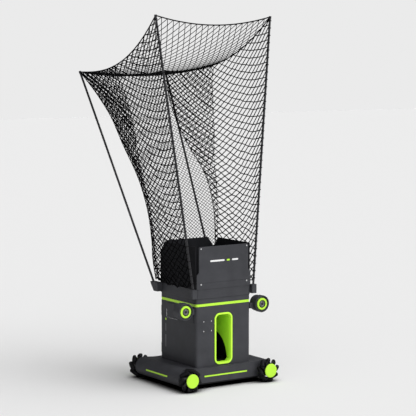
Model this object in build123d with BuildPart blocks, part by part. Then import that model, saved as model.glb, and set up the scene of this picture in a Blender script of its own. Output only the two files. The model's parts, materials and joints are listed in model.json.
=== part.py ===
from build123d import *
from math import cos, radians, sin
import os

# Tennis ball machine: a driven base on four mecanum wheels, a tower that holds the launcher,
# an open hopper and a tall catching net on four leaning poles.
# Millimetres, +Z up. The front, where the balls leave, faces -Y. The origin is on the floor,
# under the centre of the whole machine's bounding box.

os.makedirs("parts", exist_ok=True)

# ---------------------------------------------------------------- driving dimensions
TOWER_Y = -295.82  # the tower's centre line, seen from the origin
TOWER_W = 350.0  # the tower is square
TOWER_R = 14.0  # rounded upright corners
WALL = 4.0
SEAM = 0.4  # the gap between neighbouring covers

BASE_BOTTOM = 24.0
BASE_TOP = 110.0
BASE_FRONT = -200.0
BASE_REAR = 231.0
TRAY_TOP = 31.0
PONTOON_X = 253.0  # the pontoons and the wheels share their axis
PONTOON_Z = 66.5
PONTOON_R = 50.0
DECK_HALF = 190.0  # the flat deck that carries the tower

BUTTON_Z = 70.0
BUTTON_R = 8.0

WHEEL_R = 63.5
WHEEL_W = 50.0
WHEEL_GAP = 9.6  # between the base and a wheel
ROLLERS = 8
ROLLER_R = 12.5
ROLLER_HALF = 24.0
ROLLER_TILT = 45.0
ROLLER_PIN = 4.5  # how far a roller's pin stands out at each end
HUB_R = 37.5
MOTOR_R = 21.0
MOTOR_LENGTH = 78.0
SHAFT_R = 6.0
RUNNING = 0.05  # radial clearance of a turning shaft

TOWER_TOP = 436.0
RING_TOP = 450.0
COLLAR_SEAM = 477.0
COLLAR_TOP = 528.0
COLLAR_PROUD = 3.0
HOPPER_TOP = 757.0
HOPPER_WALL = 3.0
CHAMFER_W = 41.0
CHAMFER_H = 55.0
HOPPER_FLOOR = 496.0

PLATE_STEP = 612.0
PLATE_TOP = 755.0
PLATE_HALF = 159.0

SLOT_W = 114.0
SLOT_BOTTOM = 116.0
SLOT_TOP = 393.0
SLOT_RIM = 9.0

PIVOT_Y = 25.0
PIVOT_Z = 235.0
FLYWHEEL_R = 38.0
FLYWHEEL_REACH = 68.0  # from the pivot to each flywheel's axle

POD_X = 247.0
POD_Z = 419.0
POD_R = 46.0
POD_FRONT = -190.0
POD_LENGTH = 68.0

POLE_R = 6.0
POLE_BORE = 4.5
FRONT_FOOT = (194.6, -176.9, 531.0)
FRONT_TOP = (366.0, -87.0, 1966.0)
REAR_FOOT = (199.5, 206.9, 531.0)
REAR_TOP = (288.0, 848.0, 1664.0)
SOCKET_DEPTH = 36.0
NET_THICK = 5.0

SIDES = (-1, 1)


# ---------------------------------------------------------------- helpers
def level(z):
    """A horizontal plane at height z, centred on the tower."""
    return Plane(origin=(0, TOWER_Y, z))


def facing(y):
    """An upright plane across the tower that looks forwards; its own x and y are X and Z."""
    return Plane(origin=(0, TOWER_Y + y, 0), x_dir=(1, 0, 0), z_dir=(0, -1, 0))


def beside(x):
    """An upright plane along the tower that looks to +X; its own x and y are Y and Z."""
    return Plane(origin=(x, TOWER_Y, 0), x_dir=(0, 1, 0), z_dir=(1, 0, 0))


def block(x, y, z, mode=Mode.ADD):
    """A box from its two limits along each axis, in the tower's own place."""
    centre = ((x[0] + x[1]) / 2, TOWER_Y + (y[0] + y[1]) / 2, (z[0] + z[1]) / 2)
    with Locations(centre):
        Box(x[1] - x[0], y[1] - y[0], z[1] - z[0], mode=mode)


def along_y(x, y, z, radius, length, mode=Mode.ADD):
    """A cylinder whose axis runs along Y, from y towards +Y."""
    with Locations(Location((x, TOWER_Y + y + length / 2, z), (90, 0, 0))):
        Cylinder(radius, length, mode=mode)


def along_x(x, y, z, radius, length, mode=Mode.ADD):
    """A cylinder whose axis runs along X, from x towards +X."""
    with Locations(Location((x + length / 2, TOWER_Y + y, z), (0, 90, 0))):
        Cylinder(radius, length, mode=mode)


def upright(x, y, z, radius, length, mode=Mode.ADD):
    """A cylinder whose axis runs along Z, from z upwards."""
    with Locations((x, TOWER_Y + y, z + length / 2)):
        Cylinder(radius, length, mode=mode)


def square_tube(z_low, z_high, width, corner, wall):
    """A square tube with rounded upright corners, centred on the tower."""
    with BuildSketch(level(z_low)) as ring:
        RectangleRounded(width, width, corner)
        RectangleRounded(width - 2 * wall, width - 2 * wall, corner - wall, mode=Mode.SUBTRACT)
    extrude(ring.sketch, amount=z_high - z_low)


def write(name, builder):
    """Labels a finished piece and writes its file."""
    builder.part.label = name
    export_step(builder.part, f"parts/{name}.step")


def side_name(side):
    return "left" if side < 0 else "right"


# ---------------------------------------------------------------- base
def base_profile(inset):
    """The base's cross section: a flat deck with a round pontoon on each side."""
    radius = PONTOON_R - inset
    low = BASE_BOTTOM + inset
    foot = (radius**2 - (PONTOON_Z - low) ** 2) ** 0.5
    with BuildSketch(facing(BASE_FRONT + inset)) as section:
        with BuildLine():
            Line((-PONTOON_X - foot, low), (PONTOON_X + foot, low))
            for side in SIDES:
                ThreePointArc(
                    (side * (PONTOON_X + foot), low),
                    (side * (PONTOON_X + radius), PONTOON_Z),
                    (side * PONTOON_X, PONTOON_Z + radius),
                )
            Polyline(
                (-PONTOON_X, PONTOON_Z + radius),
                (-DECK_HALF, BASE_TOP - inset),
                (DECK_HALF, BASE_TOP - inset),
                (PONTOON_X, PONTOON_Z + radius),
            )
        make_face()
    extrude(section.sketch, amount=-(BASE_REAR - BASE_FRONT - 2 * inset))


with BuildPart() as base_tray:
    base_profile(0)
    split(bisect_by=level(TRAY_TOP - SEAM), keep=Keep.BOTTOM)
    for x, y in ((-150, -90), (150, -90), (-150, 120), (150, 120)):
        upright(x, y, BASE_BOTTOM - 1, 2.6, 20, mode=Mode.SUBTRACT)
write("base_tray", base_tray)

with BuildPart() as hollow:
    base_profile(WALL)

with BuildPart() as base_cover:
    base_profile(0)
    add(hollow.part, mode=Mode.SUBTRACT)
    split(bisect_by=level(TRAY_TOP), keep=Keep.TOP)
    for side in SIDES:
        length = BASE_REAR - BASE_FRONT + 10
        along_y(side * PONTOON_X, BASE_FRONT - 5, WHEEL_R, 11, length, mode=Mode.SUBTRACT)
    upright(0, 100, BASE_TOP - 20, 25, 40, mode=Mode.SUBTRACT)
    along_y(0, BASE_REAR - 10, BUTTON_Z, BUTTON_R + RUNNING, 20, mode=Mode.SUBTRACT)
    block((-139, 139), (BASE_FRONT - 1, BASE_FRONT + 2.2), (61, 70), mode=Mode.SUBTRACT)
    for side in SIDES:
        edge = side * (PONTOON_X + PONTOON_R)
        block(sorted((edge - side * 2.2, edge + side)), (-92, 122), (62, 71), mode=Mode.SUBTRACT)
write("base_cover", base_cover)

with BuildPart() as front_light_strip:
    block((-138, 138), (BASE_FRONT - 0.8, BASE_FRONT + 1.9), (61.8, 69.2))
    fillet(front_light_strip.edges().filter_by(Axis.Y), 3.4)
write("front_light_strip", front_light_strip)

with BuildPart() as side_light_strips:
    for side in SIDES:
        edge = side * (PONTOON_X + PONTOON_R)
        block(sorted((edge - side * 1.9, edge + side * 0.8)), (-91, 121), (62.8, 70.2))
    fillet(side_light_strips.edges().filter_by(Axis.X), 3.4)
write("side_light_strips", side_light_strips)

with BuildPart() as power_button:
    along_y(0, BASE_REAR - WALL - 2.2, BUTTON_Z, BUTTON_R, WALL + 5.4)
    rim = power_button.edges().filter_by(GeomType.CIRCLE).sort_by(Axis.Y)[-1]
    fillet(rim, 1)
    along_y(0, BASE_REAR - WALL - 2.2, BUTTON_Z, BUTTON_R + 2.5, 2)
write("power_button", power_button)

with BuildPart() as battery_pack:
    block((-95, 95), (-130, -20), (TRAY_TOP + 0.5, 88))
    fillet(battery_pack.edges().filter_by(Axis.Z), 6)
    block((-30, 30), (-20, -12), (50, 66))
write("battery_pack", battery_pack)

with BuildPart() as control_board:
    block((-70, 70), (40, 150), (42, 43.6))
    for x, y in ((-62, 48), (62, 48), (-62, 142), (62, 142)):
        upright(x, y, TRAY_TOP, 3, 11.2)
    block((-20, 20), (80, 115), (43.5, 50))
    block((-60, -30), (60, 130), (43.5, 60))
    block((35, 62), (56, 134), (43.5, 56))
write("control_board", control_board)


# ---------------------------------------------------------------- wheels
def wheel_centre(side, end):
    """A wheel's middle, where end is -1 at the front and 1 at the rear."""
    away = WHEEL_GAP + WHEEL_W / 2
    return side * PONTOON_X, (BASE_FRONT - away if end < 0 else BASE_REAR + away)


def roller_places(side, end):
    """Where each roller lies, with its own Z along the roller."""
    x, y = wheel_centre(side, end)
    radius = WHEEL_R - ROLLER_R
    tilt = ROLLER_TILT * side * end
    for i in range(ROLLERS):
        turn = 360 / ROLLERS * i
        across, up = radius * sin(radians(turn)), radius * cos(radians(turn))
        around = Location((x + across, TOWER_Y + y, WHEEL_R + up), (0, turn, 0))
        yield around * Location((0, 0, 0), (0, 0, tilt)) * Location((0, 0, 0), (90, 0, 0))


def barrel_radius(t):
    """A roller's radius at a distance t along it, so that the wheel runs on a true circle."""
    middle = WHEEL_R - ROLLER_R
    return WHEEL_R - (middle**2 + (t * sin(radians(ROLLER_TILT))) ** 2) ** 0.5


with BuildPart() as roller:
    with BuildSketch(Plane.XZ):
        with BuildLine():
            end_r = barrel_radius(ROLLER_HALF)
            Polyline(
                (0, -ROLLER_HALF - ROLLER_PIN),
                (2.4, -ROLLER_HALF - ROLLER_PIN),
                (2.4, -ROLLER_HALF),
                (end_r, -ROLLER_HALF),
            )
            ThreePointArc((end_r, -ROLLER_HALF), (ROLLER_R, 0), (end_r, ROLLER_HALF))
            Polyline(
                (end_r, ROLLER_HALF),
                (2.4, ROLLER_HALF),
                (2.4, ROLLER_HALF + ROLLER_PIN),
                (0, ROLLER_HALF + ROLLER_PIN),
                (0, -ROLLER_HALF - ROLLER_PIN),
            )
        make_face()
    revolve(axis=Axis.Z)

for side in SIDES:
    for end in (-1, 1):
        corner = f"{'front' if end < 0 else 'rear'}_{side_name(side)}"
        x, y = wheel_centre(side, end)
        places = list(roller_places(side, end))
        outer = y + end * WHEEL_W / 2

        with BuildPart() as wheel_rim:
            along_y(x, y - 20, WHEEL_R, 33, 40)
            for place in places:
                for reach in (-1, 1):
                    with Locations(place * Location((0, -11, reach * (ROLLER_HALF + 2)))):
                        Box(9, 27, 2.4)
            along_y(x, y - 24, WHEEL_R, 30, 48)
            for place in places:
                with Locations(place):
                    Cylinder(2.6, 2 * ROLLER_HALF + 20, mode=Mode.SUBTRACT)
                    Cylinder(ROLLER_R + 1, 2 * ROLLER_HALF + 1, mode=Mode.SUBTRACT)
            shaft_from = y if end < 0 else BASE_REAR - 45
            shaft_to = BASE_FRONT + 45 if end < 0 else y
            along_y(x, shaft_from, WHEEL_R, SHAFT_R, shaft_to - shaft_from)
        write(f"{corner}_wheel_rim", wheel_rim)

        with BuildPart() as wheel_rollers:
            for place in places:
                add(roller.part.moved(place))
        write(f"{corner}_wheel_rollers", wheel_rollers)

        with BuildPart() as hub_cap:
            face_y = outer if end > 0 else outer - 5
            along_y(x, face_y, WHEEL_R, HUB_R, 5)
            rim_edge = hub_cap.edges().filter_by(GeomType.CIRCLE).sort_by(Axis.Y)
            fillet(rim_edge[0] if end < 0 else rim_edge[-1], 3)
            inner_y = y + end * 24.2
            along_y(x, min(inner_y, outer), WHEEL_R, 22, abs(outer - inner_y))
        write(f"{corner}_hub_cap", hub_cap)

        with BuildPart() as drive_motor:
            motor_y = BASE_FRONT + WALL + 2 if end < 0 else BASE_REAR - WALL - 2 - MOTOR_LENGTH
            along_y(x, motor_y, WHEEL_R, MOTOR_R, MOTOR_LENGTH)
            block((x - 18, x + 18), (motor_y + 8, motor_y + 62), (TRAY_TOP, WHEEL_R - 15))
            bore_y = BASE_FRONT if end < 0 else BASE_REAR - 46
            along_y(x, bore_y, WHEEL_R, SHAFT_R + RUNNING, 46, mode=Mode.SUBTRACT)
        write(f"{corner}_drive_motor", drive_motor)

# ---------------------------------------------------------------- tower
HALF = TOWER_W / 2
FRONT_CUT = -HALF + TOWER_R + 1

with BuildPart() as tower_front:
    square_tube(BASE_TOP + SEAM, TOWER_TOP - SEAM, TOWER_W, TOWER_R, WALL)
    block((-200, 200), (-200, FRONT_CUT), (0, 500), mode=Mode.INTERSECT)
    with BuildSketch(facing(-HALF - 5)):
        with Locations((0, (SLOT_BOTTOM + SLOT_TOP) / 2)):
            RectangleRounded(SLOT_W - 7, SLOT_TOP - SLOT_BOTTOM - 7, 28)
    extrude(amount=-20, mode=Mode.SUBTRACT)
write("tower_front", tower_front)

for side in SIDES:
    with BuildPart() as tower_side:
        square_tube(BASE_TOP + SEAM, TOWER_TOP - SEAM, TOWER_W, TOWER_R, WALL)
        inner, outer = side * 150, side * 200
        block(sorted((inner, outer)), (FRONT_CUT + SEAM, 200), (0, 500), mode=Mode.INTERSECT)
    write(f"tower_{side_name(side)}", tower_side)

HINGE_X = -149.8
HINGE_Y = HALF + 3.5
HINGE_Z = (170.0, 376.0)
HINGE_R = 3.2
HINGE_PIN_R = 1.5

with BuildPart() as service_door:
    block((-149.6, 149.6), (HALF - WALL, HALF), (BASE_TOP + 3, TOWER_TOP - 3))
    fillet(service_door.edges().filter_by(Axis.Y), 3)
    block((60, 110), (HALF - 1.5, HALF + 1), (255, 285), mode=Mode.SUBTRACT)
    for z in HINGE_Z:
        block((HINGE_X + 0.2, -130), (HALF, HALF + 2), (z - 20, z + 20))
        upright(HINGE_X, HINGE_Y, z - 20, HINGE_R, 40)
        upright(HINGE_X, HINGE_Y, z - 21, HINGE_PIN_R + RUNNING, 42, mode=Mode.SUBTRACT)
    for i in range(6):
        block((-50, 50), (HALF - 10, HALF + 1), (330 + 12 * i, 334 + 12 * i), mode=Mode.SUBTRACT)
write("service_door", service_door)

with BuildPart() as door_hinge_pins:
    for z in HINGE_Z:
        upright(HINGE_X, HINGE_Y, z - 27, HINGE_PIN_R, 54)
        block((-170, -154), (HALF, HALF + 2), (z - 27, z + 27))
        for end_z in (z - 27, z + 21):
            block((-155, HINGE_X), (HALF, HINGE_Y + 1), (end_z, end_z + 6))
            upright(HINGE_X, HINGE_Y, end_z, HINGE_R, 6)
write("door_hinge_pins", door_hinge_pins)

with BuildPart() as light_ring:
    square_tube(TOWER_TOP, RING_TOP - SEAM, TOWER_W - 1, TOWER_R, 8)
write("light_ring", light_ring)

with BuildPart() as lower_collar:
    square_tube(RING_TOP, COLLAR_SEAM - SEAM, TOWER_W, TOWER_R, 6)
write("lower_collar", lower_collar)

with BuildPart() as upper_collar:
    square_tube(COLLAR_SEAM, COLLAR_TOP, TOWER_W + 2 * COLLAR_PROUD, TOWER_R + 2, 8)
    chamfer(upper_collar.edges().filter_by_position(Axis.Z, COLLAR_SEAM, COLLAR_SEAM + 0.1), 1)
write("upper_collar", upper_collar)

# ---------------------------------------------------------------- hopper
FLOOR_HALF = TOWER_W / 2 + COLLAR_PROUD - 8 - SEAM
BALL_HOLE_R = 38.0
FEED_RADIUS = 108.0
DROP_END = 345.0  # clear of the launcher at its steepest

with BuildPart() as hopper_floor:
    block((-FLOOR_HALF, FLOOR_HALF), (-FLOOR_HALF, FLOOR_HALF), (HOPPER_FLOOR, HOPPER_FLOOR + 4))
    fillet(hopper_floor.edges().filter_by(Axis.Z), 8)
    upright(0, FEED_RADIUS, HOPPER_FLOOR - 1, BALL_HOLE_R, 10, mode=Mode.SUBTRACT)
    upright(0, 0, HOPPER_FLOOR - 1, 10, 10, mode=Mode.SUBTRACT)
write("hopper_floor", hopper_floor)

with BuildPart() as feeder_disc:
    upright(0, 0, HOPPER_FLOOR + 6, 152, 12)
    for i in range(6):
        turn = radians(60 * i + 90)
        x, y = FEED_RADIUS * cos(turn), FEED_RADIUS * sin(turn)
        upright(x, y, HOPPER_FLOOR, BALL_HOLE_R - 2, 30, mode=Mode.SUBTRACT)
    upright(0, 0, HOPPER_FLOOR + 17, 40, 8)
    fillet(feeder_disc.edges().filter_by(GeomType.CIRCLE).sort_by(Axis.Z)[-1], 6)
    upright(0, 0, HOPPER_FLOOR - 30, SHAFT_R, 40)
write("feeder_disc", feeder_disc)

with BuildPart() as feeder_motor:
    upright(0, 0, HOPPER_FLOOR - 74, 28, 73)
    upright(0, 0, HOPPER_FLOOR - 31, SHAFT_R + RUNNING, 40, mode=Mode.SUBTRACT)
write("feeder_motor", feeder_motor)

with BuildPart() as drop_tube:
    upright(0, FEED_RADIUS, DROP_END, BALL_HOLE_R + 3, HOPPER_FLOOR - DROP_END - 0.5)
    upright(0, FEED_RADIUS, DROP_END - 5, BALL_HOLE_R, HOPPER_FLOOR - DROP_END + 10, mode=Mode.SUBTRACT)
write("drop_tube", drop_tube)


def wall_outline(plane, reach, front_cut, rear_cut):
    """An upright hopper wall with its two upper corners cut back by the given amounts."""
    low, high = COLLAR_TOP + SEAM, HOPPER_TOP
    points = [(-reach, low), (reach, low)]
    points += [(reach, high - rear_cut[1]), (reach - rear_cut[0], high)]
    if front_cut:
        points += [(-reach + front_cut[0], high), (-reach, high - front_cut[1])]
    else:
        points += [(-reach, high)]
    with BuildSketch(plane) as outline:
        with BuildLine():
            Polyline(*points, close=True)
        make_face()
    extrude(outline.sketch, amount=HOPPER_WALL)


CORNER_CUT = (CHAMFER_W, CHAMFER_H)
with BuildPart() as hopper_rear_wall:
    wall_outline(facing(HALF), HALF, CORNER_CUT, CORNER_CUT)
write("hopper_rear_wall", hopper_rear_wall)

for side in SIDES:
    with BuildPart() as hopper_side_wall:
        start = HALF - HOPPER_WALL if side > 0 else -HALF
        wall_outline(beside(start), HALF - HOPPER_WALL - SEAM, None, CORNER_CUT)
    write(f"hopper_{side_name(side)}_wall", hopper_side_wall)

with BuildPart() as front_plate:
    with BuildSketch(facing(-HALF - SEAM)):
        with BuildLine():
            Polyline(
                (-HALF + 2, COLLAR_TOP + SEAM),
                (HALF - 2, COLLAR_TOP + SEAM),
                (HALF - 2, PLATE_STEP - 8),
                (PLATE_HALF, PLATE_STEP + 6),
                (PLATE_HALF, PLATE_TOP),
                (-PLATE_HALF, PLATE_TOP),
                (-PLATE_HALF, PLATE_STEP + 6),
                (-HALF + 2, PLATE_STEP - 8),
                close=True,
            )
        make_face()
    extrude(amount=5)
    upper_corners = front_plate.edges().filter_by(Axis.Y)
    fillet(upper_corners.filter_by_position(Axis.Z, PLATE_TOP - 1, PLATE_TOP + 1), 9)
    block((-HALF, HALF), (-HALF - 6, -HALF - 4.4), (561, 563), mode=Mode.SUBTRACT)
    for x in (-147, 147):
        for z in (555, 745):
            along_y(x, -HALF - 10, z, 2.2, 12, mode=Mode.SUBTRACT)
write("front_plate", front_plate)

with BuildPart() as plate_screws:
    for x in (-147, 147):
        for z in (555, 745):
            along_y(x, -HALF - 7.6, z, 4.2, 2.2)
            along_y(x, -HALF - 6, z, 1.9, 5.6)
            along_y(x, -HALF - 8, z, 1.8, 1.4, mode=Mode.SUBTRACT)
write("plate_screws", plate_screws)

# ---------------------------------------------------------------- ball slot and launcher
with BuildPart() as slot_bezel:
    middle = (SLOT_BOTTOM + SLOT_TOP) / 2
    tall = SLOT_TOP - SLOT_BOTTOM
    with BuildSketch(facing(-HALF - SEAM)):
        with Locations((0, middle)):
            RectangleRounded(SLOT_W, tall, 32)
            RectangleRounded(SLOT_W - 2 * SLOT_RIM, tall - 2 * SLOT_RIM, 23, mode=Mode.SUBTRACT)
    extrude(amount=4)
    fillet(slot_bezel.faces().sort_by(Axis.Y)[0].edges(), 1.5)
    with BuildSketch(facing(-HALF - SEAM - 1)):
        with Locations((0, middle)):
            RectangleRounded(SLOT_W - 8, tall - 8, 28)
            RectangleRounded(SLOT_W - 2 * SLOT_RIM, tall - 2 * SLOT_RIM, 23, mode=Mode.SUBTRACT)
    extrude(amount=-160)
    with BuildSketch(beside(-80)):
        with BuildLine():
            Polyline((-140, 100), (-140, 140), (-130, 178))
            Spline((-130, 178), (-97, 233), (-32, 270))
            Polyline((-32, 270), (-16, 400), (60, 400), (60, 100), (-140, 100))
        make_face()
    extrude(amount=160, mode=Mode.SUBTRACT)
write("slot_bezel", slot_bezel)

with BuildPart() as launcher_cradle:
    for side in SIDES:
        inner = side * 36
        outer = side * 41
        with BuildSketch(beside(min(inner, outer))):
            with Locations((PIVOT_Y, PIVOT_Z)):
                RectangleRounded(84, 2 * FLYWHEEL_REACH + 36, 16)
        extrude(amount=5)
    along_y(0, PIVOT_Y - 84, PIVOT_Z, 41, 52)
    along_y(0, PIVOT_Y + 32, PIVOT_Z, 41, 52)
    along_y(0, PIVOT_Y - 90, PIVOT_Z, 36, 200, mode=Mode.SUBTRACT)
    block((-34, 34), (PIVOT_Y + 40, PIVOT_Y + 120), (PIVOT_Z, PIVOT_Z + 60), mode=Mode.SUBTRACT)
    for side in SIDES:
        along_x(min(side * 36, side * 92), PIVOT_Y, PIVOT_Z, 5, 56)
        for lift in (-1, 1):
            z = PIVOT_Z + lift * FLYWHEEL_REACH
            along_x(min(side * 30, side * 50), PIVOT_Y, z, 4 + RUNNING, 20, mode=Mode.SUBTRACT)
write("launcher_cradle", launcher_cradle)

for lift, name in ((1, "upper_flywheel"), (-1, "lower_flywheel")):
    with BuildPart() as flywheel:
        z = PIVOT_Z + lift * FLYWHEEL_REACH
        axle = (0, TOWER_Y + PIVOT_Y, z)
        with BuildSketch(Plane(origin=axle, x_dir=(1, 0, 0), z_dir=(0, 1, 0))):
            with BuildLine():
                Polyline((-15, 8), (-15, FLYWHEEL_R))
                ThreePointArc((-15, FLYWHEEL_R), (0, FLYWHEEL_R - 5), (15, FLYWHEEL_R))
                Polyline((15, FLYWHEEL_R), (15, 8), (-15, 8))
            make_face()
        revolve(axis=Axis(axle, (1, 0, 0)))
        along_x(-15, PIVOT_Y, z, 8.2, 30)
        along_x(-40.5, PIVOT_Y, z, 4, 96)
    write(name, flywheel)

with BuildPart() as flywheel_motors:
    for lift in (-1, 1):
        z = PIVOT_Z + lift * FLYWHEEL_REACH
        along_x(41.2, PIVOT_Y, z, 17, 38)
        along_x(40, PIVOT_Y, z, 4 + RUNNING, 16, mode=Mode.SUBTRACT)
write("flywheel_motors", flywheel_motors)

with BuildPart() as launcher_yoke:
    block((-98, 98), (PIVOT_Y - 25, PIVOT_Y + 25), (BASE_TOP + 0.2, BASE_TOP + 5))
    for side in SIDES:
        inner, outer = side * 90, side * 96
        with BuildSketch(beside(min(inner, outer))):
            with BuildLine():
                Polyline((PIVOT_Y - 14, PIVOT_Z), (PIVOT_Y - 25, BASE_TOP + 1))
                Line((PIVOT_Y - 25, BASE_TOP + 1), (PIVOT_Y + 25, BASE_TOP + 1))
                Line((PIVOT_Y + 25, BASE_TOP + 1), (PIVOT_Y + 14, PIVOT_Z))
                ThreePointArc((PIVOT_Y + 14, PIVOT_Z), (PIVOT_Y, PIVOT_Z + 14), (PIVOT_Y - 14, PIVOT_Z))
            make_face()
        extrude(amount=6)
    along_x(-120, PIVOT_Y, PIVOT_Z, 5 + RUNNING, 240, mode=Mode.SUBTRACT)
write("launcher_yoke", launcher_yoke)

# ---------------------------------------------------------------- stereo cameras
with BuildPart() as camera_brackets:
    for side in SIDES:
        plate = sorted((side * (HALF + 0.3), side * (HALF + 5)))
        block(plate, (-150, 106), (347, 426))
        arm = sorted((side * (HALF + 4), side * (POD_X - 30)))
        block(arm, (-166, -130), (397, 426))
        along_y(side * POD_X, -300, POD_Z, POD_R + 0.2, 400, mode=Mode.SUBTRACT)
write("camera_brackets", camera_brackets)

for side in SIDES:
    with BuildPart() as camera_pod:
        middle = (side * POD_X, TOWER_Y, POD_Z)
        with BuildSketch(Plane(origin=middle)):
            with BuildLine():
                front, rear = POD_FRONT, POD_FRONT + POD_LENGTH
                Polyline(
                    (0, rear),
                    (POD_R - 12, rear),
                    (POD_R - 3, rear - 8),
                    (POD_R - 3, front + 34),
                    (POD_R, front + 32),
                    (POD_R, front + 3),
                    (POD_R - 2, front),
                    (POD_R - 5, front),
                    (POD_R - 8, front + 8),
                    (0, front + 8),
                    close=True,
                )
            make_face()
        revolve(axis=Axis(middle, (0, 1, 0)))
    write(f"{side_name(side)}_camera_pod", camera_pod)

with BuildPart() as camera_light_rings:
    for side in SIDES:
        along_y(side * POD_X, POD_FRONT + 1.5, POD_Z, 32.5, 6.3)
    fillet(camera_light_rings.edges().filter_by(GeomType.CIRCLE).group_by(Axis.Y)[0], 2.5)
    for side in SIDES:
        along_y(side * POD_X, POD_FRONT - 5, POD_Z, 18, 30, mode=Mode.SUBTRACT)
write("camera_light_rings", camera_light_rings)

with BuildPart() as camera_lenses:
    for side in SIDES:
        along_y(side * POD_X, POD_FRONT + 2.5, POD_Z, 17, 5.3)
    fillet(camera_lenses.edges().filter_by(GeomType.CIRCLE).group_by(Axis.Y)[0], 2)
write("camera_lenses", camera_lenses)


# ---------------------------------------------------------------- poles and net
def pole_line(foot, top, side):
    """The two ends of a pole on one side, in the machine's frame."""
    return (
        Vector(side * foot[0], TOWER_Y + foot[1], foot[2]),
        Vector(side * top[0], TOWER_Y + top[1], top[2]),
    )


def pole_plane(foot, top, side, start):
    """A plane across a pole, start millimetres up from its foot."""
    low, high = pole_line(foot, top, side)
    direction = (high - low).normalized()
    return Plane(origin=low + direction * start, z_dir=direction), (high - low).length


POLES = {"front": (FRONT_FOOT, FRONT_TOP), "rear": (REAR_FOOT, REAR_TOP)}

with BuildPart() as pole_sockets:
    for side in SIDES:
        collar_side = HALF + COLLAR_PROUD + 0.3
        block(sorted((side * collar_side, side * 208)), (-191, -163), (483, COLLAR_TOP + 3))
        with BuildSketch(beside(collar_side if side > 0 else -212)):
            with BuildLine():
                Polyline((150, 483), (188, 483), (224, 531), (150, 531), close=True)
            make_face()
        extrude(amount=212 - collar_side)
    fillet(pole_sockets.edges().filter_by(Axis.Z), 3)
    for foot, top in POLES.values():
        for side in SIDES:
            with BuildSketch(pole_plane(foot, top, side, -SOCKET_DEPTH)[0]):
                Circle(POLE_R + 0.15)
            extrude(amount=SOCKET_DEPTH + 30, mode=Mode.SUBTRACT)
write("pole_sockets", pole_sockets)

for end, (foot, top) in POLES.items():
    for side in SIDES:
        with BuildPart() as pole:
            plane, length = pole_plane(foot, top, side, -SOCKET_DEPTH + 1)
            with BuildSketch(plane):
                Circle(POLE_R)
                Circle(POLE_BORE, mode=Mode.SUBTRACT)
            extrude(amount=length + SOCKET_DEPTH - 1)
            with BuildSketch(pole_plane(foot, top, side, length - 10)[0]):
                Circle(POLE_R + 1.2)
            extrude(amount=14)
        write(f"{end}_{side_name(side)}_pole", pole)


def sheet(points):
    """One flat panel of the net through three or four corners."""
    corners = [Vector(x, TOWER_Y + y, z) for x, y, z in points]
    normal = (corners[1] - corners[0]).cross(corners[2] - corners[0]).normalized()
    plane = Plane(origin=corners[0], x_dir=corners[1] - corners[0], z_dir=normal)
    with BuildSketch(plane) as panel:
        with BuildLine():
            flat = [plane.to_local_coords(corner) for corner in corners]
            Polyline(*[(p.X, p.Y) for p in flat], close=True)
        make_face()
    extrude(panel.sketch, amount=NET_THICK / 2, both=True)


FOOT = (199.5, -160.0, 565.0)
HEAD = (363.0, -76.0, 1950.0)
SAG = (327.0, 380.0, 1708.0)
HORN = (287.0, 830.0, 1646.0)
RIDGE_HIGH = (214.0, 560.0, 1340.0)
RIDGE_LOW = (224.0, 290.0, 1000.0)
CORNER = (190.0, 190.0, 600.0)
HEM = (188.0, -100.0, 536.0)
HEM_REAR = (188.0, 140.0, 560.0)

for side in SIDES:
    with BuildPart() as side_net:
        for corners in (
            (FOOT, CORNER, RIDGE_LOW),
            (FOOT, RIDGE_LOW, HEAD),
            (HEAD, RIDGE_LOW, SAG),
            (RIDGE_LOW, RIDGE_HIGH, SAG),
            (SAG, RIDGE_HIGH, HORN),
            (FOOT, HEM, CORNER),
            (HEM, HEM_REAR, CORNER),
        ):
            sheet([(side * x, y, z) for x, y, z in corners])
    write(f"{side_name(side)}_net", side_net)


def crossing(low, high, inset=9.0):
    """A flat panel across the machine between two corners and their mirror images."""
    a, b = low[0] - inset, high[0] - inset
    return [(-a, low[1], low[2]), (a, low[1], low[2]), (b, high[1], high[2]), (-b, high[1], high[2])]


BACK_FOOT = (180.0, 181.0, 700.0)
with BuildPart() as rear_net:
    sheet(crossing(HEAD, SAG))
    sheet(crossing(SAG, HORN))
    sheet(crossing(HORN, RIDGE_HIGH))
    sheet(crossing(RIDGE_HIGH, RIDGE_LOW))
    sheet(crossing(RIDGE_LOW, BACK_FOOT))
write("rear_net", rear_net)
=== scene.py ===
import json
from math import cos, pi, radians, sin

import bpy
import numpy as np
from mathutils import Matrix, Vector


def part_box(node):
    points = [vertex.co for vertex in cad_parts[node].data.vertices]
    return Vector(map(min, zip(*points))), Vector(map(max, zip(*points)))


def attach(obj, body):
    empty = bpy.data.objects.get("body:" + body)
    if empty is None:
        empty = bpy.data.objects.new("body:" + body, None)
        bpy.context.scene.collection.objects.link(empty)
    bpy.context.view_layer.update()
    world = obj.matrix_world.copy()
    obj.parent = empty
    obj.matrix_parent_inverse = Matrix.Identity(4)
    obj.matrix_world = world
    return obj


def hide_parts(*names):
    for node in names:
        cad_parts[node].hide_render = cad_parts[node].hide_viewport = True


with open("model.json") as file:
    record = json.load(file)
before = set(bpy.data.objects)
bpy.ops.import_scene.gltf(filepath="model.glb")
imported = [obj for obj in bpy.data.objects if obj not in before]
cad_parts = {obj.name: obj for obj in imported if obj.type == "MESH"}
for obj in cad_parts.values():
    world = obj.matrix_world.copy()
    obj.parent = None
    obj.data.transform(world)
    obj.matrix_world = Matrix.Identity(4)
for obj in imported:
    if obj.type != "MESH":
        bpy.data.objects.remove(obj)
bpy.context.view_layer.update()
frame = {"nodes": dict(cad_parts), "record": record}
nodes = frame["nodes"]
scene = bpy.context.scene
rng = np.random.default_rng(7)

# The tower's centre line and the heights that everything else is measured from.
collar_low, collar_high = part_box("upper_collar")
TOWER = Vector(((collar_low.x + collar_high.x) / 2, (collar_low.y + collar_high.y) / 2, 0))


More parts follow.
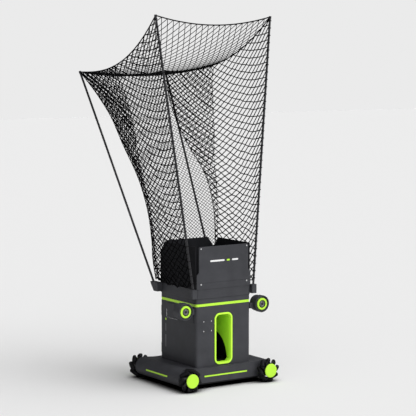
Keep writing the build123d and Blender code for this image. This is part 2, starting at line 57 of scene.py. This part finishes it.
def at(x, y, z):
    """A point in metres from millimetres off the tower's centre line on the floor."""
    return TOWER + Vector((x, y, z)) / 1000


# ---------------------------------------------------------------- camera
AZIMUTH = radians(-33.976)
DISTANCE, SIDEWAYS, EYE, DOWN = 8482.9, 15.9, 1782.4, radians(5.676)
camera = bpy.data.objects.new("camera", bpy.data.cameras.new("camera"))
scene.collection.objects.link(camera)
camera.location = at(
    DISTANCE * sin(AZIMUTH) + SIDEWAYS * cos(AZIMUTH),
    -DISTANCE * cos(AZIMUTH) + SIDEWAYS * sin(AZIMUTH),
    EYE,
)
camera.rotation_euler = (pi / 2 - DOWN, 0, AZIMUTH)
camera.data.sensor_width = 36
camera.data.lens = 136.66
camera.data.clip_end = 60
scene.camera = camera


# ---------------------------------------------------------------- materials
def material(name, colour, rough, metal=0.0, spread=0.12, grain=900.0, bump=0.05,
             mottle=14.0, coat=0.0, specular=0.5):
    """Moulded, coated or woven stuff: two close colours, uneven roughness and a fine grain."""
    made = bpy.data.materials.new(name)
    made.use_nodes = True
    tree = made.node_tree
    shader = tree.nodes["Principled BSDF"]
    link = tree.links.new
    place = tree.nodes.new("ShaderNodeTexCoord")
    cloud = tree.nodes.new("ShaderNodeTexNoise")
    cloud.inputs["Scale"].default_value = mottle
    cloud.inputs["Detail"].default_value = 5
    link(place.outputs["Object"], cloud.inputs["Vector"])
    ramp = tree.nodes.new("ShaderNodeValToRGB")
    ramp.color_ramp.elements[0].position = 0.3
    ramp.color_ramp.elements[1].position = 0.7
    ramp.color_ramp.elements[0].color = [c * (1 - spread) for c in colour] + [1]
    ramp.color_ramp.elements[1].color = [min(1, c * (1 + spread)) for c in colour] + [1]
    link(cloud.outputs["Fac"], ramp.inputs["Fac"])
    link(ramp.outputs["Color"], shader.inputs["Base Color"])
    uneven = tree.nodes.new("ShaderNodeMapRange")
    uneven.inputs["To Min"].default_value = max(0.02, rough - 0.06)
    uneven.inputs["To Max"].default_value = min(1, rough + 0.06)
    link(cloud.outputs["Fac"], uneven.inputs["Value"])
    link(uneven.outputs["Result"], shader.inputs["Roughness"])
    fine = tree.nodes.new("ShaderNodeTexNoise")
    fine.inputs["Scale"].default_value = grain
    fine.inputs["Detail"].default_value = 3
    link(place.outputs["Object"], fine.inputs["Vector"])
    relief = tree.nodes.new("ShaderNodeBump")
    relief.inputs["Strength"].default_value = bump
    relief.inputs["Distance"].default_value = 0.0002
    link(fine.outputs["Fac"], relief.inputs["Height"])
    link(relief.outputs["Normal"], shader.inputs["Normal"])
    shader.inputs["Metallic"].default_value = metal
    shader.inputs["Specular IOR Level"].default_value = specular
    shader.inputs["Coat Weight"].default_value = coat
    shader.inputs["Coat Roughness"].default_value = 0.25
    return made


BODY = (0.048, 0.049, 0.055)
LIME = (0.50, 0.87, 0.055)
looks = {
    "body_plastic": material("body_plastic", BODY, 0.5, bump=0.25, grain=1400, specular=0.14),
    "black_plastic": material("black_plastic", (0.006, 0.006, 0.007), 0.55, bump=0.3, specular=0.12),
    "hopper_plastic": material("hopper_plastic", (0.017, 0.0175, 0.020), 0.6, bump=0.4, grain=700,
                               specular=0.06),
    "lime_light": material("lime_light", LIME, 0.4, spread=0.04, bump=0.05, specular=0.25),
    "lime_gloss": material("lime_gloss", LIME, 0.45, spread=0.05, bump=0.15, specular=0.22),
    "battery_case": material("battery_case", (0.03, 0.03, 0.035), 0.4, metal=0.6),
    "circuit_board": material("circuit_board", (0.02, 0.10, 0.05), 0.35, spread=0.3, mottle=90),
    "dark_metal": material("dark_metal", (0.012, 0.012, 0.013), 0.42, metal=0.2, bump=0.3,
                           specular=0.3),
    "black_metal": material("black_metal", (0.015, 0.015, 0.016), 0.35, metal=0.7),
    "pole_metal": material("pole_metal", (0.022, 0.022, 0.025), 0.35, metal=0.3, mottle=30, specular=0.35),
    "plate_metal": material("plate_metal", BODY, 0.48, metal=0.05, bump=0.35, grain=1700,
                            specular=0.15),
    "motor_steel": material("motor_steel", (0.32, 0.32, 0.33), 0.3, metal=1.0, mottle=60),
    "bright_steel": material("bright_steel", (0.62, 0.62, 0.63), 0.25, metal=1.0, mottle=90),
    "roller_rubber": material("roller_rubber", (0.006, 0.006, 0.007), 0.6, bump=0.5, grain=500,
                              mottle=40, spread=0.3, specular=0.14),
    "flywheel_rubber": material("flywheel_rubber", (0.02, 0.02, 0.02), 0.7, bump=0.5, grain=400),
    "feeder_plastic": material("feeder_plastic", (0.03, 0.03, 0.034), 0.5, bump=0.3),
    "lens_glass": material("lens_glass", (0.035, 0.038, 0.03), 0.08, coat=1.0, bump=0.0),
    "coarse_net": material("coarse_net", (0.003, 0.003, 0.0035), 0.85, spread=0.35, mottle=260,
                           grain=1500, bump=0.6, specular=0.05),
    "fine_net": material("fine_net", (0.004, 0.004, 0.0045), 0.85, spread=0.35, mottle=320,
                         grain=1700, bump=0.6, specular=0.05),
}
slots = {part["node"]: part["material_slot"] for part in frame["record"]["subparts"]}
for name, node in nodes.items():
    node.data.materials.clear()
    node.data.materials.append(looks[slots[name]])

# The slot's bezel is of the same plastic, with a painted glow at its rim that fades inwards: emission
# standing in for light on it, though it is no lamp.
bezel_painted_glow_look = material("lime_bezel_painted_glow", LIME, 0.45, spread=0.05, bump=0.15, specular=0.22)
bezel_tree = bezel_painted_glow_look.node_tree
bezel_shader = bezel_tree.nodes["Principled BSDF"]
bezel_shader.inputs["Emission Color"].default_value = [*LIME, 1]
bezel_place = bezel_tree.nodes.new("ShaderNodeTexCoord")
bezel_depth = bezel_tree.nodes.new("ShaderNodeSeparateXYZ")
# Painted glow strength: strongest at the rim, none 30 mm inside.
bezel_painted_glow_fade = bezel_tree.nodes.new("ShaderNodeMapRange")
rim_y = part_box("slot_bezel")[0].y
bezel_painted_glow_fade.inputs["From Min"].default_value = rim_y + 0.003
bezel_painted_glow_fade.inputs["From Max"].default_value = rim_y + 0.030
bezel_painted_glow_fade.inputs["To Min"].default_value = 0.24
bezel_painted_glow_fade.inputs["To Max"].default_value = 0.0
bezel_tree.links.new(bezel_place.outputs["Object"], bezel_depth.inputs[0])
bezel_tree.links.new(bezel_depth.outputs["Y"], bezel_painted_glow_fade.inputs["Value"])
bezel_tree.links.new(bezel_painted_glow_fade.outputs["Result"], bezel_shader.inputs["Emission Strength"])
nodes["slot_bezel"].data.materials.clear()
nodes["slot_bezel"].data.materials.append(bezel_painted_glow_look)


# ---------------------------------------------------------------- shape helpers
def piece(name, points, faces, look, body="machine", smooth=True):
    """A mesh piece that rides on a body and takes its finish from a slot."""
    mesh = bpy.data.meshes.new(name)
    mesh.from_pydata([tuple(p) for p in points], [], faces)
    mesh.polygons.foreach_set("use_smooth", [smooth] * len(mesh.polygons))
    mesh.update()
    made = bpy.data.objects.new(name, mesh)
    scene.collection.objects.link(made)
    made.data.materials.append(looks[look])
    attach(made, body)
    return made


def tubes(starts, ends, radius, sides):
    """Open tubes between pairs of points, as points and faces."""
    starts, ends = np.asarray(starts, float), np.asarray(ends, float)
    along = ends - starts
    along /= np.linalg.norm(along, axis=1)[:, None]
    aside = np.cross(along, [0.31, 0.17, 0.93])
    aside /= np.linalg.norm(aside, axis=1)[:, None]
    over = np.cross(along, aside)
    radius = np.broadcast_to(radius, len(starts))[:, None, None]
    turn = np.arange(sides) * 2 * pi / sides
    ring = radius * (aside[:, None] * np.cos(turn)[:, None] + over[:, None] * np.sin(turn)[:, None])
    points = np.concatenate([starts[:, None] + ring, ends[:, None] + ring], axis=1).reshape(-1, 3)
    base = (np.arange(len(starts)) * 2 * sides)[:, None]
    k = np.arange(sides)
    n = (k + 1) % sides
    faces = np.stack([base + k, base + n, base + sides + n, base + sides + k], axis=2)
    return points, faces.reshape(-1, 4).tolist()


def beads(centres, radius):
    """A small eight-sided knot at each centre, as points and faces."""
    axes = np.array([(1, 0, 0), (0, 1, 0), (-1, 0, 0), (0, -1, 0), (0, 0, 1), (0, 0, -1)], float)
    points = (np.asarray(centres)[:, None] + axes * radius).reshape(-1, 3)
    corners = [(0, 1, 4), (1, 2, 4), (2, 3, 4), (3, 0, 4), (1, 0, 5), (2, 1, 5), (3, 2, 5), (0, 3, 5)]
    faces = [tuple(6 * i + c for c in corner) for i in range(len(centres)) for corner in corners]
    return points, faces


def joined(*parts):
    """Several lots of points and faces as one."""
    points, faces, count = [], [], 0
    for some, their in parts:
        points.append(np.asarray(some))
        faces += [tuple(i + count for i in face) for face in their]
        count += len(some)
    return np.concatenate(points), faces


def rope(line, radius, sides=8):
    """A smooth tube along a line of points, as points and faces."""
    line = np.asarray([tuple(p) for p in line], float)
    step = np.gradient(line, axis=0)
    step /= np.linalg.norm(step, axis=1)[:, None]
    aside = np.cross(step, [0.13, 0.27, 0.95])
    aside /= np.linalg.norm(aside, axis=1)[:, None]
    over = np.cross(step, aside)
    radius = np.broadcast_to(radius, len(line))[:, None, None]
    turn = np.arange(sides) * 2 * pi / sides
    ring = radius * (aside[:, None] * np.cos(turn)[:, None] + over[:, None] * np.sin(turn)[:, None])
    points = (line[:, None] + ring).reshape(-1, 3)
    faces = []
    for i in range(len(line) - 1):
        for k in range(sides):
            n = (k + 1) % sides
            faces.append((i * sides + k, i * sides + n, (i + 1) * sides + n, (i + 1) * sides + k))
    return points, faces


def lattice(surface, across, up, radius, sides, knot, jitter=0.0, reach=None):
    """Diamond netting over a surface given as a function of two numbers from 0 to 1.
    reach stretches a row past the surface's far side, where its strands are cut off."""
    spots, inside = {}, {}
    for i in range(2 * across + 1):
        for j in range(2 * up + 1):
            if (i + j) % 2 == 0:
                inner = 0 < i < 2 * across and 0 < j < 2 * up
                wander = rng.normal(0, jitter, 2) if inner and jitter else (0, 0)
                v = (j + wander[1]) / (2 * up)
                u = (i + wander[0]) / (2 * across) * (reach(v) if reach else 1)
                inside[i, j] = u < 1
                spots[i, j] = surface(min(u, 1), v)
    starts, ends, knots = [], [], []
    for (i, j), spot in spots.items():
        if inside[i, j] or not reach:
            knots.append(spot)
        for rise in (-1, 1):
            other = spots.get((i + 1, j + rise))
            if other is not None and (inside[i, j] or not reach):
                starts.append(spot)
                ends.append(other)
    return joined(tubes(starts, ends, radius, sides), beads(knots, knot))


def through(stops, values):
    """A smooth curve through points, each given with its place along the curve."""
    places = np.array([s for s, _ in stops], float)
    points = np.array([p for _, p in stops], float)
    slopes = np.gradient(points, places, axis=0)
    values = np.clip(values, places[0], places[-1])
    i = np.clip(np.searchsorted(places, values, side="right") - 1, 0, len(places) - 2)
    width = places[i + 1] - places[i]
    t = (values - places[i]) / width
    a, b = 2 * t**3 - 3 * t**2 + 1, t**3 - 2 * t**2 + t
    c, d = -2 * t**3 + 3 * t**2, t**3 - t**2
    return a * points[i] + b * width * slopes[i] + c * points[i + 1] + d * width * slopes[i + 1]


# ---------------------------------------------------------------- net
SIDE_CELLS, WING_CELLS = 15, 14
# Millimetres off the tower's centre line, for the side at +X.
POLE_FOOT, POLE_HEAD = np.array((195.0, -177, 531)), np.array((366.0, -87, 1966))
HORN = np.array((288.0, 848, 1664))
RIDGE = [
    (545, (194, 194, 545)),
    (650, (205, 205, 650)),
    (757, (209, 210, 757)),
    (921, (217, 240, 921)),
    (1088, (222, 326, 1088)),
    (1272, (212, 512, 1272)),
    (1410, (212, 630, 1410)),
    (1540, (240, 742, 1540)),
    (1664, tuple(HORN)),
]
RIDGE_LOW, RIDGE_HIGH = RIDGE[0][0], RIDGE[-1][0]
# How far back along a side its finer wing begins, at heights from the hem to the top.
SEAM = [(0.0, (0.90,)), (0.34, (0.90,)), (0.485, (0.82,)), (0.65, (0.64,)), (1.0, (0.51,))]


def front_edge(v):
    low = POLE_FOOT + (POLE_HEAD - POLE_FOOT) * 0.012
    return low + (POLE_HEAD - low) * v


def ridge(v):
    return through(RIDGE, RIDGE_LOW + (RIDGE_HIGH - RIDGE_LOW) * v)


def top_edge(u):
    """From the front pole's head back to the rear pole's head."""
    spot = POLE_HEAD + (HORN - POLE_HEAD) * u
    spot[2] = HORN[2] + (POLE_HEAD[2] - HORN[2]) * (1 - u) ** 2.8
    return spot


def hem(u):
    low, high = front_edge(0), ridge(0)
    spot = low + (high - low) * u
    spot[0] += 3 * sin(pi * u)
    spot[2] += 9 * u + 5 * sin(9 * pi * u) - 15 * sin(pi * u)
    return spot


def side_surface(side):
    def surface(u, v):
        blend = (1 - v) * hem(u) + v * top_edge(u) + (1 - u) * front_edge(v) + u * ridge(v)
        corners = (1 - u) * (1 - v) * hem(0) + u * (1 - v) * hem(1)
        corners = corners + (1 - u) * v * top_edge(0) + u * v * top_edge(1)
        spot = blend - corners
        slack = 16 * sin(pi * u) * sin(pi * v)
        return at(side * (spot[0] + slack), spot[1], spot[2])
    return surface


def rear_panel(side):
    """The finer net's wings, which lie inside the coarse side from a seam back to the ridge."""
    wing = side_surface(side)

    def surface(u, v):
        seam = through(SEAM, v)[0]
        return wing(1 - (1 - seam) * u, v) - Vector((side * 0.004, 0, 0))
    return surface


def row_length(v):
    """How far it is from the front pole to the ridge, in millimetres."""
    return float(np.linalg.norm(ridge(v) - front_edge(v)))


def coarse_reach(v):
    return SIDE_CELLS * (48 + 18 * min(1, v / 0.4)) / row_length(v)


def wing_reach(v):
    return WING_CELLS * 36 / (row_length(v) * (1 - through(SEAM, v)[0]))


def roof_surface(u, v):
    """v runs from the front edge to the rear one, and u across."""
    edge = top_edge(v)
    sag = 47 - 25 * v
    return at(edge[0] * (2 * u - 1), edge[1], edge[2] - sag * 4 * u * (1 - u))


def back_surface(u, v):
    """v runs down from the rear edge to the hopper, and u across."""
    edge = ridge(1 - v * 0.95)
    sag = 22 * (1 - v)
    bulge = 14 * sin(pi * v)
    return at(edge[0] * (2 * u - 1), edge[1] + bulge * 4 * u * (1 - u), edge[2] - sag * 4 * u * (1 - u))


netting, wings = [], []
for side, name in ((-1, "left"), (1, "right")):
    mesh = lattice(side_surface(side), SIDE_CELLS, 35, 0.0028, 6, 0.0046, 0.05, coarse_reach)
    net = piece(f"{name}_side_netting", *mesh, "coarse_net")
    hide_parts(f"{name}_net")
    netting.append(net)
    mesh = lattice(rear_panel(side), WING_CELLS, 40, 0.0021, 5, 0.0036, 0.06, wing_reach)
    wing = piece(f"{name}_wing_netting", *mesh, "fine_net")
    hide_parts(f"{name}_net")
    wings.append(wing)
roof = piece("roof_netting", *lattice(roof_surface, 20, 14, 0.0019, 5, 0.0028), "fine_net")
back = piece("back_netting", *lattice(back_surface, 19, 58, 0.0014, 5, 0.0024, 0.05), "fine_net")
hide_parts("rear_net")
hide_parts("rear_net")

def mirrored(line, side):
    return [at(side * p[0], p[1], p[2]) for p in line]


steps = np.linspace(0, 1, 60)
for side, name in ((-1, "left"), (1, "right")):
    edge = rope(mirrored([top_edge(t) for t in steps], side), 0.0032)
    seam = rope(mirrored([ridge(t) for t in steps], side), 0.0018)
    low = rope(mirrored([hem(t) for t in steps], side), 0.0030)
    piece(f"{name}_net_border", *joined(edge, seam, low), "coarse_net")
front_rope = rope([roof_surface(t, 0) for t in steps], 0.0034)
horn_rope = rope([roof_surface(t, 1) for t in steps], 0.0030 + 0.0030 * np.sin(pi * steps))
piece("roof_net_border", *joined(front_rope, horn_rope), "coarse_net")
piece("back_net_border", *rope([back_surface(t, 1) for t in steps], 0.003), "coarse_net")

loops = []
for side in (-1, 1):
    for t in np.linspace(0.01, 0.985, 36):
        spot = front_edge(t)
        centre = np.array(at(side * spot[0], spot[1], spot[2]))
        along = (POLE_HEAD - POLE_FOOT) * (side, 1, 1)
        along /= np.linalg.norm(along)
        one = np.cross(along, (0, 1, 0))
        one /= np.linalg.norm(one)
        two = np.cross(along, one)
        turn = np.linspace(0, 2 * pi, 15)
        lift = 0.003 * np.sin(turn)[:, None] * along
        ring = centre + 0.0078 * (np.cos(turn)[:, None] * one + np.sin(turn)[:, None] * two) + lift
        loops.append(rope(ring, 0.0013, 6))
lacing = piece("pole_lacing", *joined(*loops), "coarse_net")

for net, name in zip(netting, ("left", "right")):
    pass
for wing, name in zip(wings, ("left", "right")):
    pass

# ---------------------------------------------------------------- marks and small fittings
def dash(centre, across, up, width, height, thick, corner):
    """A thin plate with round corners, standing off a face, as points and faces."""
    across, up = Vector(across), Vector(up)
    out = across.cross(up)
    outline = []
    for k, (sx, sy) in enumerate(((1, 1), (-1, 1), (-1, -1), (1, -1))):
        for turn in np.linspace(k * pi / 2, (k + 1) * pi / 2, 6):
            x = sx * (width / 2 - corner) + corner * cos(turn)
            y = sy * (height / 2 - corner) + corner * sin(turn)
            outline.append(centre + (across * x + up * y) / 1000)
    count = len(outline)
    rings = [outline, [p + out * thick / 1000 for p in outline]]
    inner = [centre + (p - centre) * 0.96 + out * (thick + 0.15) / 1000 for p in outline]
    rings.append(inner)
    points = [p for ring in rings for p in ring]
    faces = []
    for level in range(len(rings) - 1):
        for k in range(count):
            n = (k + 1) % count
            low, high = level * count, (level + 1) * count
            faces.append((low + k, low + n, high + n, high + k))
    faces.append(tuple(range(2 * count, 3 * count)))
    faces.append(tuple(reversed(range(count))))
    return points, faces


looks["white_print"] = material("white_print", (0.80, 0.80, 0.80), 0.5, spread=0.05)
looks["grey_print"] = material("grey_print", (0.095, 0.097, 0.105), 0.5, spread=0.1)
plate_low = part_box("front_plate")[0]
tower_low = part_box("tower_left")[0]
RIGHT, BACKWARDS, UP = (1, 0, 0), (0, -1, 0), (0, 0, 1)

# A plain mark of three bars on the plate, and a plain upright one on the tower's side.
plate_y = (plate_low.y - TOWER.y) * 1000
bars = [dash(at(x, plate_y, 676), RIGHT, UP, w, 9, 0.4, 4.4) for x, w in ((-42, 92), (72, 40))]
mark = piece("plate_mark", *joined(*bars), "white_print", smooth=False)
dot = dash(at(28, plate_y, 676), RIGHT, UP, 20, 9, 0.4, 4.4)
mark_dot = piece("plate_mark_dot", *dot, "lime_gloss", smooth=False)
side_x = (tower_low.x - TOWER.x) * 1000
bars = [dash(at(side_x, 122, z), BACKWARDS, UP, 9, h, 0.3, 4.4) for z, h in ((215, 70), (290, 44))]
side_mark = piece("side_mark", *joined(*bars), "grey_print", smooth=False)
side_dot = piece("side_mark_dot", *dash(at(side_x, 122, 334), BACKWARDS, UP, 12, 12, 0.3, 5), "lime_gloss",
                 smooth=False)


def dome(x, y, z, radius, height, sides=16):
    """A round screw head on a forward-facing face, with a socket in it, as points and faces."""
    profile = [(1.0, 0.0), (0.97, 0.35), (0.82, 0.75), (0.55, 1.0), (0.42, 1.0), (0.40, 0.35), (0.0, 0.3)]
    points, faces = [], []
    for share, lift in profile:
        for k in range(sides):
            turn = 2 * pi * k / sides
            across, rise = radius * share * cos(turn), radius * share * sin(turn)
            points.append(at(x + across, y - height * lift, z + rise))
    for level in range(len(profile) - 1):
        for k in range(sides):
            n = (k + 1) % sides
            low, high = level * sides, (level + 1) * sides
            faces.append((low + k, low + n, high + n, high + k))
    return points, faces


face_y = (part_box("tower_front")[0].y - TOWER.y) * 1000
heads = [dome(x, face_y, z, 3.4, 1.8) for x in (-126, -77) for z in (302, 354)]
screws = piece("panel_screws", *joined(*heads), "bright_steel")

# A painted highlight along the lower edges of each camera bracket, made as a thin bright steel rope, and the
# pupil and bezel rings of each lens.
LENS_X, LENS_Z = 247, 419
highlight_lines = []
for side in (-1, 1):
    line = [(104, 392), (104, 372), (104, 356), (102, 349.5), (96, 347), (70, 347), (30, 347), (-6, 347)]
    highlight_lines.append(rope([at(side * 180.4, y, z) for y, z in line], 0.0011, 8))
bracket_painted_highlight = piece("bracket_painted_highlight", *joined(*highlight_lines), "bright_steel")
lens_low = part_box("camera_lenses")[0]
lens_y = (lens_low.y - TOWER.y) * 1000
eyes, rings = [], []
for side in (-1, 1):
    eyes.append(dome(side * LENS_X, lens_y - 0.1, LENS_Z, 6.0, 1.4, 24))
    for radius, thick in ((10.5, 0.5), (14.0, 0.6)):
        turn = np.linspace(0, 2 * pi, 41)
        circle = [at(side * LENS_X + radius * cos(t), lens_y - 0.1, LENS_Z + radius * sin(t)) for t in turn]
        rings.append(rope(circle, thick / 1000, 6))
pupils = piece("lens_pupils", *joined(*eyes), "black_metal")
lens_rings = piece("lens_rings", *joined(*rings), "motor_steel")
bezel_y = (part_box("camera_light_rings")[0].y - TOWER.y) * 1000
turn = np.linspace(0, 2 * pi, 49)
BEZEL_RADIUS = 19.3
bezels = []
for side in (-1, 1):
    circle = [
        at(side * LENS_X + BEZEL_RADIUS * cos(t), bezel_y + 0.6, LENS_Z + BEZEL_RADIUS * sin(t))
        for t in turn
    ]
    bezels.append(rope(circle, 0.0019))
lens_bezels = piece("lens_bezels", *joined(*bezels), "black_plastic")

# ---------------------------------------------------------------- studio
floor_mesh = bpy.data.meshes.new("studio_floor")
floor_mesh.from_pydata([(-30, -30, 0), (30, -30, 0), (30, 30, 0), (-30, 30, 0)], [], [(0, 1, 2, 3)])
floor = bpy.data.objects.new("studio_floor", floor_mesh)
scene.collection.objects.link(floor)
looks["floor"] = material("floor", (0.80, 0.80, 0.80), 0.9, spread=0.0, bump=0.0, specular=0.0)

# Painted contact shadow: the floor's colour darkens where something stands close over it.
floor_tree = looks["floor"].node_tree
painted_shadow_ao = floor_tree.nodes.new("ShaderNodeAmbientOcclusion")
painted_shadow_ao.inputs["Distance"].default_value = 0.10
painted_shadow_ao.samples = 8
painted_shadow_fall = floor_tree.nodes.new("ShaderNodeMapRange")
painted_shadow_fall.interpolation_type = "SMOOTHSTEP"
painted_shadow_fall.inputs["From Min"].default_value = 0.25
painted_shadow_fall.inputs["From Max"].default_value = 0.85
painted_shadow_fall.inputs["To Min"].default_value = 0.0
painted_shadow_fall.inputs["To Max"].default_value = 0.80
floor_tree.links.new(painted_shadow_ao.outputs["AO"], painted_shadow_fall.inputs["Value"])
floor_tree.links.new(painted_shadow_fall.outputs["Result"], floor_tree.nodes["Principled BSDF"].inputs["Base Color"])
floor.data.materials.append(looks["floor"])

world = bpy.data.worlds.new("studio")
scene.world = world
world.use_nodes = True
tree = world.node_tree
background = tree.nodes["Background"]
background.inputs["Strength"].default_value = 1.0
way = tree.nodes.new("ShaderNodeTexCoord")
lobe = tree.nodes.new("ShaderNodeVectorMath")
lobe.operation = "DOT_PRODUCT"
lobe.inputs[1].default_value = Vector((0.45, -0.72, 0.53)).normalized()
tree.links.new(way.outputs["Generated"], lobe.inputs[0])
fall = tree.nodes.new("ShaderNodeMapRange")
fall.interpolation_type = "SMOOTHSTEP"
fall.inputs["From Min"].default_value = -0.35
fall.inputs["From Max"].default_value = 1.0
fall.inputs["To Min"].default_value = 0.05
fall.inputs["To Max"].default_value = 1.35
tree.links.new(lobe.outputs["Value"], fall.inputs["Value"])
seen = tree.nodes.new("ShaderNodeLightPath")
pick = tree.nodes.new("ShaderNodeMix")
pick.data_type = "RGBA"
pick.inputs[7].default_value = (0.83, 0.83, 0.83, 1)
tree.links.new(seen.outputs["Is Camera Ray"], pick.inputs[0])
tree.links.new(fall.outputs["Result"], pick.inputs[6])
tree.links.new(pick.outputs[2], background.inputs["Color"])
scene.view_settings.view_transform = "Standard"
scene.view_settings.look = "None"

lamp = bpy.data.objects.new("overhead", bpy.data.lights.new("overhead", "SUN"))
scene.collection.objects.link(lamp)
lamp.data.energy = 1.1
lamp.data.angle = radians(50)
lamp.rotation_euler = Vector((-0.27, 0.45, -0.85)).to_track_quat("-Z", "Y").to_euler()
